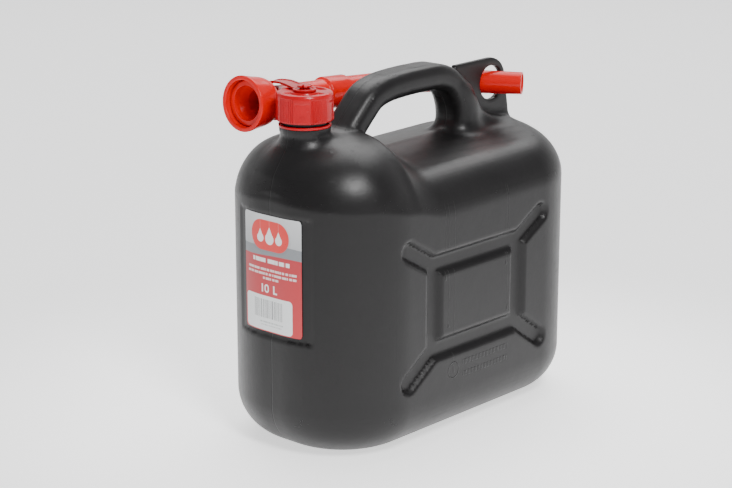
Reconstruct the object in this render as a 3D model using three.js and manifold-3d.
// A ten-litre blow-moulded fuel can with a screw cap on a tether strap and a pouring spout stowed
// beside its handle. Millimetres, +Z up. The origin is on the ground, under the middle of the tank.
// -X is the front (label and neck), +X the rear (fin), +Y the side where the spout is stowed.
import * as THREE from "three";
import { mergeVertices } from "three/addons/utils/BufferGeometryUtils.js";
import Module from "manifold-3d";

const wasm = await Module();
wasm.setup();

// ---- Driving dimensions ----

// Tank
const TANK_LENGTH = 313;
const TANK_WIDTH = 165;
const WALL = 2.2;
const FRONT_CORNER = 74; // plan radius of the two front corners
const REAR_CORNER = 67; // plan radius of the two rear corners
const FOOT_EDGE = 40; // radius of the edge round the base
const DOME_TOP = 251; // height of the bottle-like front part
const DOME_EDGE = 51; // radius of its top edge, at the neck and in front of it
const CREST_TOP = 254.5; // the same height and radius at the crest behind the neck
const CREST_EDGE = 72;
const CREST_X = -71; // where the dome ends and its rear flank starts
const FLANK_SLOPE = 0.75;
const RIDGE_TOP = 231.5; // height of the gabled roof under the handle, at mid-length
const RIDGE_RISE = 0.018; // rise of the ridge towards the rear
const ROOF_SLOPE = 0.166;
const ROOF_EDGE = 31;

// Handle
const HANDLE_WIDTH = 32;
const HANDLE_DEPTH = 22;
const HANDLE_CORNER = 9;
const HANDLE_TOP = 282; // height of the grip's centre line

// Fin at the rear of the handle
const FIN_THICK = 5;
const FIN_TOP = 286.3;
const FIN_HOLE_R = 14.6;
const FIN_HOLE_X = 114.6;
const FIN_HOLE_Z = 264.3;

// Neck
const NECK_X = -116;
const NECK_TOP = 285.9;
const NECK_R = 18.4;
const NECK_BORE_R = 15.5;
const NECK_FLARE_R = 20.4;
const NECK_SEAT = 262.5; // the shoulder that the tether ring lies on

// Pressed channels on the two broad sides: a rectangle with an arm from each corner
const CHANNEL_WIDTH = 16;
const CHANNEL_DEPTH = 4.5;
const FRAME_HALF_LENGTH = 54;
const FRAME_LOW = 79.5;
const FRAME_HIGH = 151;
const ARM_END_X = 84;
const ARM_LOW = 59;
const ARM_HIGH = 168;

// Label and its recess
const RECESS_DEPTH = 1;
const RECESS_HALF_WIDTH = 40;
const RECESS_LOW = 97;
const RECESS_HIGH = 199;
const LABEL_THICK = 0.4;
const LABEL_HALF_WIDTH = 31;
const LABEL_LOW = 102;
const LABEL_HIGH = 197.5;

// Cap and tether
const CLEARANCE = 0.3;
const CAP_LOW = 267.8;
const CAP_TOP = 290.3;
const CAP_R = 23;
const CAP_BORE_R = 19.4;
const CAP_ROOF = 2;
const GASKET_THICK = 1.5;
const KNOB_R = 4;
const KNOB_HEAD_R = 6.2;
const KNOB_TOP = 296;
const STRAP_WIDTH = 12.5;
const STRAP_THICK = 1.8;
const RING_THICK = 2.2;
const RING_R = 20.9;
const LUG_X = -106;
const LUG_Y = 23.2;
const LUG_LENGTH = 9.4;
const EYE_R = 9.2; // the strap's eye round the knob

// Spout: its main axis runs from the nut's mouth to the elbow, then turns into the fin's hole
const SPOUT_FRONT = new THREE.Vector3(-137.4, 48, 276.7);
const SPOUT_ELBOW = new THREE.Vector3(86.6, 48.5, 264.3);
const TIP_END = new THREE.Vector3(129.1, -25, 264.3);
const ELBOW_R = 27;
const TUBE_WALL = 1.6;
const TUBE_R = 12;
const TIP_R = 9.6;
const BASE_R = 11.4;
const COLLAR_R = 13.6;
const NUT_R = 22.5;
const NUT_BORE_R = 18.9;
const NUT_DEPTH = 18; // how far the nut's wide bore reaches in
const NUT_LENGTH = 28;
const FLANGE_R = 18;
const FUNNEL_R = 14; // bore of the base at its flange

// Distances along the spout's main axis, from the nut's mouth
const FLANGE_AT = 5;
const FLANGE_THICK = 2.5;
const FUNNEL_END = 17;
const COLLAR_START = 93;
const COLLAR_END = 117;
const TUBE_START = 108;
const SOCKET_DEPTH = 8; // clear depth behind the tube's end in the collar

// ---- Helpers ----

// A closed body from rings of equal point counts. The rings run so that their points go
// anticlockwise seen from the last ring. Ends are closed by strips across each ring.
function loft(rings, closed = false) {
  const count = rings[0].length;
  const index = [];
  const spans = closed ? rings.length : rings.length - 1;
  for (let k = 0; k < spans; k++) {
    const low = k * count;
    const high = ((k + 1) % rings.length) * count;
    for (let i = 0; i < count; i++) {
      const j = (i + 1) % count;
      index.push(low + i, low + j, high + j, low + i, high + j, high + i);
    }
  }
  if (!closed) {
    const top = (rings.length - 1) * count;
    for (let i = 0; i < count / 2 - 1; i++) {
      const a = count - 1 - i;
      index.push(i, a, a - 1, i, a - 1, i + 1);
      index.push(top + i, top + a - 1, top + a, top + i, top + i + 1, top + a - 1);
    }
  }
  const geometry = new THREE.BufferGeometry().setFromPoints(rings.flat());
  geometry.setIndex(index);
  return geometry;
}

function solid(geometry) {
  const bare = geometry.index ? geometry.toNonIndexed() : geometry.clone();
  bare.deleteAttribute("normal");
  bare.deleteAttribute("uv");
  const merged = mergeVertices(bare, 1e-3);
  return new wasm.Manifold(
    new wasm.Mesh({
      numProp: 3,
      vertProperties: merged.attributes.position.array,
      triVerts: new Uint32Array(merged.index.array),
    }),
  );
}

function geometryOf(manifold) {
  const mesh = manifold.getMesh();
  const geometry = new THREE.BufferGeometry();
  geometry.setAttribute("position", new THREE.BufferAttribute(mesh.vertProperties, 3));
  geometry.setIndex(new THREE.BufferAttribute(mesh.triVerts, 1));
  return geometry;
}

// A body turned about an upright axis at (x, y), from a profile of [radius, height] pairs that
// starts and ends on the axis or closes on itself.
function turned(profile, x, y = 0, segments = 36) {
  const points = profile.map(([r, z]) => new THREE.Vector2(r, z));
  const geometry = new THREE.LatheGeometry(points, segments);
  return geometry.rotateX(Math.PI / 2).translate(x, y, 0);
}

// A ring with a rectangular section.
function washer(inner, outer, low, high, x, segments = 36) {
  return turned([[inner, low], [outer, low], [outer, high], [inner, high], [inner, low]], x, 0, segments);
}

function rod(radius, low, high, x, segments = 36) {
  return turned([[0, low], [radius, low], [radius, high], [0, high]], x, 0, segments);
}

// ---- Tank ----

// One level outline of the tank, inset from its widest outline. The first half holds the +Y side,
// from rear to front, and the second half mirrors it.
function planOutline(inset) {
  const halfLength = TANK_LENGTH / 2 - inset;
  const halfWidth = TANK_WIDTH / 2 - inset;
  const rear = Math.max(REAR_CORNER - inset, 1.5);
  const front = Math.max(FRONT_CORNER - inset, 1.5);
  const half = [];
  const arc = (centreX, radius, from, steps) => {
    for (let i = 0; i <= steps; i++) {
      const angle = from + (Math.PI / 2) * (i / steps);
      half.push([
        centreX + radius * Math.cos(angle),
        halfWidth - radius + radius * Math.sin(angle),
      ]);
    }
  };
  const rearStart = halfLength - rear;
  const frontStart = -halfLength + front;
  arc(rearStart, rear, 0, 6);
  for (const share of [0.2, 0.4, 0.62, 0.76, 0.84, 0.92]) {
    half.push([rearStart + (frontStart - rearStart) * share, halfWidth]);
  }
  arc(frontStart, front, Math.PI / 2, 7);
  const mirrored = half.map(([x, y]) => [x, -y]).reverse();
  return [...half, ...mirrored];
}

function roundedTop(top, radius, inset) {
  const into = Math.max(0, radius - inset);
  return top - radius + Math.sqrt(radius * radius - into * into);
}

// Height of the tank's top over a point: the front dome with its sloping rear flank, or the
// gabled roof under the handle, whichever is higher.
function topHeight(x, y, inset) {
  const flank = Math.max(0, x - CREST_X) * FLANK_SLOPE;
  const share = THREE.MathUtils.smoothstep(x, NECK_X, CREST_X);
  const top = THREE.MathUtils.lerp(DOME_TOP, CREST_TOP, share);
  const edge = THREE.MathUtils.lerp(DOME_EDGE, CREST_EDGE, share);
  const dome = roundedTop(top, edge, inset) - flank;
  const gable = RIDGE_TOP + RIDGE_RISE * x - ROOF_SLOPE * Math.abs(y);
  const roof = roundedTop(gable, ROOF_EDGE, inset);
  return Math.max(dome, roof);
}

// The tank's outer form, or with a wall thickness the hollow inside it.
function tankForm(wall = 0) {
  const rings = [];
  const level = (inset, height) => {
    rings.push(
      planOutline(inset + wall).map(([x, y]) => new THREE.Vector3(x, y, height(x, y))),
    );
  };
  for (let k = 0; k <= 5; k++) {
    const angle = (Math.PI / 2) * (k / 5);
    const radius = FOOT_EDGE - wall;
    level(radius * (1 - Math.sin(angle)), () => wall + radius * (1 - Math.cos(angle)));
  }
  for (const inset of [0, 1.5, 5, 11, 20, 32, 46, 60, 74]) {
    level(inset, (x, y) => topHeight(x, y, inset) - wall);
  }
  return loft(rings);
}

// ---- Handle, neck and fin ----

// The handle's centre line, seen from the side: front foot, grip and rear foot.
const HANDLE_LINE = [
  [-86, 235],
  [-72, 249],
  [-56, 265],
  [-44, 275],
  [-30, 279.5],
  [-10, HANDLE_TOP - 0.5],
  [15, HANDLE_TOP],
  [36, HANDLE_TOP - 1],
  [52, 275],
  [64, 262],
  [70, 248],
  [70, 222],
];

function roundedSection(width, depth, corner) {
  const section = [];
  for (let quarter = 0; quarter < 4; quarter++) {
    const across = quarter === 0 || quarter === 3 ? 1 : -1;
    const up = quarter < 2 ? 1 : -1;
    for (let i = 0; i <= 3; i++) {
      const angle = (Math.PI / 2) * (quarter + i / 3);
      section.push([
        across * (width / 2 - corner) + corner * Math.cos(angle),
        up * (depth / 2 - corner) + corner * Math.sin(angle),
      ]);
    }
  }
  return section;
}

function handleForm(wall = 0) {
  const curve = new THREE.CatmullRomCurve3(
    HANDLE_LINE.map(([x, z]) => new THREE.Vector3(x, 0, z)),
  );
  const width = HANDLE_WIDTH - 2 * wall;
  const depth = HANDLE_DEPTH - 2 * wall;
  const section = roundedSection(width, depth, HANDLE_CORNER - wall);
  const rings = [];
  const steps = 18;
  for (let k = 0; k <= steps; k++) {
    const centre = curve.getPointAt(k / steps);
    const along = curve.getTangentAt(k / steps);
    const up = new THREE.Vector3(-along.z, 0, along.x);
    rings.push(
      section.map(([across, out]) =>
        centre.clone().addScaledVector(up, out).add(new THREE.Vector3(0, across, 0)),
      ),
    );
  }
  return loft(rings);
}

// An upright plate of a side outline, centred on the tank's middle plane.
function plate(shape, thickness, curveSegments) {
  const options = { depth: thickness, bevelEnabled: false, curveSegments };
  const block = new THREE.ExtrudeGeometry(shape, options);
  return block.rotateX(Math.PI / 2).translate(0, thickness / 2, 0);
}

// The web that spreads the handle's rear leg onto the tank.
function rearFoot() {
  const shape = new THREE.Shape();
  shape.moveTo(66, 268);
  shape.lineTo(72, 268);
  shape.quadraticCurveTo(98, 236, 128, 230);
  shape.lineTo(128, 218);
  shape.lineTo(66, 218);
  shape.closePath();
  const width = HANDLE_WIDTH - 6;
  return plate(shape, width, 6);
}

function neckForm() {
  return turned(
    [
      [0, 228],
      [NECK_R + 16, 228],
      [NECK_R + 9, 239],
      [NECK_R + 3, 248],
      [NECK_R + 1, NECK_SEAT - 6],
      [NECK_FLARE_R, NECK_SEAT - 2.5],
      [NECK_FLARE_R, NECK_SEAT],
      [NECK_R, NECK_SEAT],
      [NECK_R, NECK_TOP],
      [0, NECK_TOP],
    ],
    NECK_X,
  );
}

function finForm() {
  const shape = new THREE.Shape();
  shape.moveTo(60, 268);
  shape.lineTo(66, FIN_TOP - 0.6);
  shape.lineTo(112, FIN_TOP);
  shape.quadraticCurveTo(129, FIN_TOP - 1, 133.5, FIN_TOP - 15);
  shape.lineTo(142, 224);
  shape.lineTo(142, 215);
  shape.lineTo(76, 222);
  shape.closePath();
  const hole = new THREE.Path();
  hole.absarc(FIN_HOLE_X, FIN_HOLE_Z, FIN_HOLE_R, 0, Math.PI * 2, false);
  shape.holes.push(hole);
  return plate(shape, FIN_THICK, 12);
}

// ---- Pressed channels ----

// A straight channel cutter on the +Y side, from one point to another on that side.
function channelBar(fromX, fromZ, toX, toZ, width, depth) {
  const length = Math.hypot(toX - fromX, toZ - fromZ);
  const shape = new THREE.Shape();
  shape.absarc(length, 0, width / 2, -Math.PI / 2, Math.PI / 2, false);
  shape.absarc(0, 0, width / 2, Math.PI / 2, Math.PI * 1.5, false);
  shape.closePath();
  const reach = 6;
  const options = { depth: depth + reach, bevelEnabled: false, curveSegments: 5 };
  return new THREE.ExtrudeGeometry(shape, options)
    .rotateZ(Math.atan2(toZ - fromZ, toX - fromX))
    .rotateX(Math.PI / 2)
    .translate(fromX, TANK_WIDTH / 2 + reach, fromZ);
}

// The channels of both broad sides, grown by a margin all round.
function channels(margin) {
  const width = CHANNEL_WIDTH + 2 * margin;
  const depth = CHANNEL_DEPTH + margin;
  const half = FRAME_HALF_LENGTH;
  const lines = [
    [-half, FRAME_LOW, half, FRAME_LOW],
    [-half, FRAME_HIGH, half, FRAME_HIGH],
  ];
  for (const side of [-1, 1]) {
    lines.push([side * half, FRAME_LOW, side * half, FRAME_HIGH]);
    lines.push([side * half, FRAME_LOW, side * ARM_END_X, ARM_LOW]);
    lines.push([side * half, FRAME_HIGH, side * ARM_END_X, ARM_HIGH]);
  }
  let joined = null;
  for (const line of lines) {
    const bar = solid(channelBar(...line, width, depth));
    joined = joined ? joined.add(bar) : bar;
  }
  return joined.add(joined.mirror([0, 1, 0]));
}

// ---- Label and its recess ----

// A curved plate that follows the tank's front, between two insets and two heights.
function frontPlate(halfWidth, low, high, outerInset, innerInset) {
  const flat = TANK_WIDTH / 2 - FRONT_CORNER;
  const steps = 12;
  const column = (along, inset) => {
    const beyond = Math.max(0, Math.abs(along) - flat);
    const angle = beyond / FRONT_CORNER;
    const radius = FRONT_CORNER - inset;
    const x = -TANK_LENGTH / 2 + FRONT_CORNER - radius * Math.cos(angle);
    const y = Math.sign(along) * (Math.min(Math.abs(along), flat) + radius * Math.sin(angle));
    return [x, y];
  };
  const rings = [];
  for (let i = 0; i <= steps; i++) {
    const along = halfWidth * ((2 * i) / steps - 1);
    const [outerX, outerY] = column(along, outerInset);
    const [innerX, innerY] = column(along, innerInset);
    rings.push([
      new THREE.Vector3(outerX, outerY, low),
      new THREE.Vector3(outerX, outerY, high),
      new THREE.Vector3(innerX, innerY, high),
      new THREE.Vector3(innerX, innerY, low),
    ]);
  }
  return loft(rings);
}

// The cutter for the label's recess, grown by a margin all round.
function recess(margin) {
  const beyond = -4;
  const halfWidth = RECESS_HALF_WIDTH + margin;
  const low = RECESS_LOW - margin;
  const high = RECESS_HIGH + margin;
  return solid(frontPlate(halfWidth, low, high, beyond, RECESS_DEPTH + margin));
}

function canBody() {
  const outside = solid(tankForm())
    .subtract(channels(0))
    .subtract(recess(0))
    .add(solid(handleForm()))
    .add(solid(rearFoot()))
    .add(solid(neckForm()))
    .add(solid(finForm()));
  const hollow = solid(tankForm(WALL))
    .subtract(channels(WALL))
    .subtract(recess(WALL))
    .add(solid(handleForm(WALL)))
    .add(solid(rod(NECK_BORE_R, 236, NECK_TOP + 5, NECK_X)));
  return geometryOf(outside.subtract(hollow));
}

function label() {
  const inner = RECESS_DEPTH - CLEARANCE;
  return frontPlate(LABEL_HALF_WIDTH, LABEL_LOW, LABEL_HIGH, inner - LABEL_THICK, inner);
}

// ---- Cap, gasket and tether ----

function cap() {
  const ceiling = CAP_TOP - CAP_ROOF;
  return turned(
    [
      [0, ceiling],
      [CAP_BORE_R, ceiling],
      [CAP_BORE_R, CAP_LOW],
      [CAP_R, CAP_LOW],
      [CAP_R, CAP_TOP - 3],
      [CAP_R - 3, CAP_TOP],
      [KNOB_R, CAP_TOP],
      [KNOB_R, KNOB_TOP - 2],
      [KNOB_HEAD_R, KNOB_TOP - 1.6],
      [KNOB_HEAD_R - 1, KNOB_TOP],
      [0, KNOB_TOP],
    ],
    NECK_X,
  );
}

function capGasket() {
  const low = NECK_TOP + CLEARANCE;
  return rod(NECK_R, low, low + GASKET_THICK, NECK_X);
}

function tetherRing() {
  const low = NECK_SEAT + CLEARANCE;
  const lug = new THREE.BoxGeometry(STRAP_WIDTH, LUG_LENGTH, RING_THICK);
  lug.translate(LUG_X, LUG_Y, low + RING_THICK / 2);
  const ring = washer(NECK_R + CLEARANCE, RING_R, low, low + RING_THICK, NECK_X);
  return geometryOf(solid(ring).add(solid(lug)));
}

// The strap leaves the knob's eye level, goes over the spout behind its nut, round its far side
// and back under it to the neck ring.
const STRAP_LINE = [
  [-113.3, 7.5, CAP_TOP + 1.2],
  [-107, 23, 291.7],
  [-102, 37, 291.2],
  [-101, 50, 289.4],
  [-101, 59.5, 284],
  [-101, 62.8, 275],
  [-101, 59, 265.8],
  [-101.5, 50, 261],
  [-103.5, 40, 261.2],
  [-106, LUG_Y + 6.2, 263.6],
];

function strapBand() {
  const curve = new THREE.CatmullRomCurve3(STRAP_LINE.map((p) => new THREE.Vector3(...p)));
  const rings = [];
  const steps = 30;
  for (let k = 0; k <= steps; k++) {
    const centre = curve.getPointAt(k / steps);
    const along = curve.getTangentAt(k / steps);
    const wide = new THREE.Vector3(1, 0, 0);
    wide.addScaledVector(along, -wide.dot(along)).normalize();
    const thick = new THREE.Vector3().crossVectors(wide, along).normalize();
    rings.push(
      [[-1, -1], [1, -1], [1, 1], [-1, 1]].map(([a, b]) =>
        centre
          .clone()
          .addScaledVector(wide, (a * STRAP_WIDTH) / 2)
          .addScaledVector(thick, (-b * STRAP_THICK) / 2),
      ),
    );
  }
  return loft(rings);
}

function tetherStrap() {
  const eyeLow = CAP_TOP + CLEARANCE;
  const eye = solid(washer(KNOB_R + CLEARANCE, EYE_R, eyeLow, eyeLow + STRAP_THICK, NECK_X, 24));
  return geometryOf(eye.add(solid(strapBand())));
}

// ---- Spout ----

const SPOUT_AXIS = SPOUT_ELBOW.clone().sub(SPOUT_FRONT).normalize();

// A body turned about the spout's main axis, from a closed profile of [radius, distance from the
// nut's mouth] pairs.
function aboutSpout(profile, segments = 32) {
  const points = profile.map(([r, distance]) => new THREE.Vector2(r, distance));
  const geometry = new THREE.LatheGeometry(points, segments);
  const turn = new THREE.Quaternion().setFromUnitVectors(new THREE.Vector3(0, 1, 0), SPOUT_AXIS);
  return geometry.applyQuaternion(turn).translate(SPOUT_FRONT.x, SPOUT_FRONT.y, SPOUT_FRONT.z);
}

function spoutNut() {
  return aboutSpout([
    [NUT_BORE_R, 0],
    [NUT_R, 0],
    [NUT_R, 1.5],
    [NUT_R - 1.3, 9],
    [NUT_R - 2.3, 17],
    [NUT_R - 3.1, NUT_LENGTH - 7],
    [NUT_R - 4.9, NUT_LENGTH - 3],
    [NUT_R - 8.5, NUT_LENGTH],
    [BASE_R + CLEARANCE, NUT_LENGTH],
    [BASE_R + CLEARANCE, NUT_DEPTH],
    [NUT_BORE_R, NUT_DEPTH],
    [NUT_BORE_R, 0],
  ]);
}

// The flanged base: a funnel inside the nut, a tube and the collar that holds the long tube.
function spoutBase() {
  const bore = BASE_R - TUBE_WALL;
  const flangeBack = FLANGE_AT + FLANGE_THICK;
  const funnelStart = flangeBack + 2.5;
  const socketEnd = TUBE_START - SOCKET_DEPTH;
  return aboutSpout([
    [FUNNEL_R, FLANGE_AT],
    [FLANGE_R, FLANGE_AT],
    [FLANGE_R, flangeBack],
    [FUNNEL_R + TUBE_WALL, flangeBack],
    [FUNNEL_R + TUBE_WALL, funnelStart],
    [BASE_R, FUNNEL_END],
    [BASE_R, COLLAR_START],
    [COLLAR_R, COLLAR_START],
    [COLLAR_R, COLLAR_END],
    [TUBE_R + CLEARANCE, COLLAR_END],
    [TUBE_R + CLEARANCE, socketEnd],
    [bore, socketEnd],
    [bore, FUNNEL_END],
    [FUNNEL_R, funnelStart],
    [FUNNEL_R, FLANGE_AT],
  ]);
}

// The long tube: a straight run, a bend and the tip, tapering all the way.
function spoutTube() {
  const start = SPOUT_FRONT.clone().addScaledVector(SPOUT_AXIS, TUBE_START);
  const tipAxis = TIP_END.clone().sub(SPOUT_ELBOW).normalize();
  const turn = SPOUT_AXIS.angleTo(tipAxis);
  const setback = ELBOW_R * Math.tan(turn / 2);
  const bendStart = SPOUT_ELBOW.clone().addScaledVector(SPOUT_AXIS, -setback);
  const bendEnd = SPOUT_ELBOW.clone().addScaledVector(tipAxis, setback);
  const bend = new THREE.QuadraticBezierCurve3(bendStart, SPOUT_ELBOW, bendEnd);
  const stations = [];
  for (let k = 0; k <= 4; k++) {
    stations.push([start.clone().lerp(bendStart, k / 4), SPOUT_AXIS]);
  }
  for (let k = 1; k <= 6; k++) {
    stations.push([bend.getPoint(k / 6), bend.getTangent(k / 6)]);
  }
  for (let k = 1; k <= 2; k++) {
    stations.push([bendEnd.clone().lerp(TIP_END, k / 2), tipAxis]);
  }
  const side = new THREE.Vector3().crossVectors(SPOUT_AXIS, tipAxis).normalize();
  const sides = 20;
  const ring = ([centre, along], radius) => {
    const other = new THREE.Vector3().crossVectors(along, side).normalize();
    const points = [];
    for (let i = 0; i < sides; i++) {
      const angle = (Math.PI * 2 * i) / sides;
      points.push(
        centre
          .clone()
          .addScaledVector(side, radius * Math.cos(angle))
          .addScaledVector(other, radius * Math.sin(angle)),
      );
    }
    return points;
  };
  const last = stations.length - 1;
  const radii = stations.map((_, k) => TUBE_R + (TIP_R - TUBE_R) * (k / last));
  const outer = stations.map((station, k) => ring(station, radii[k]));
  const inner = stations.map((station, k) => ring(station, radii[k] - TUBE_WALL));
  return loft([...outer, ...inner.reverse()], true);
}

// ---- Assembly ----

const BLACK = { color: 0x1b1a1b, roughness: 0.42, metalness: 0 };
const CRIMSON = { color: 0xd01020, roughness: 0.3, metalness: 0 };
const SCARLET = { color: 0xe8281c, roughness: 0.3, metalness: 0 };
const PAPER = { color: 0xb9bcc0, roughness: 0.35, metalness: 0 };
const RUBBER = { color: 0x202020, roughness: 0.8, metalness: 0 };

const group = new THREE.Group();

function place(name, geometry, finish) {
  geometry.computeVertexNormals();
  const mesh = new THREE.Mesh(geometry, new THREE.MeshStandardMaterial(finish));
  mesh.name = name;
  group.add(mesh);
}

place("can_body", canBody(), BLACK);
place("label", label(), PAPER);
place("cap", cap(), CRIMSON);
place("cap_gasket", capGasket(), RUBBER);
place("tether_ring", tetherRing(), CRIMSON);
place("tether_strap", tetherStrap(), CRIMSON);
place("spout_nut", spoutNut(), SCARLET);
place("spout_base", spoutBase(), SCARLET);
place("spout_tube", spoutTube(), SCARLET);

export default group;
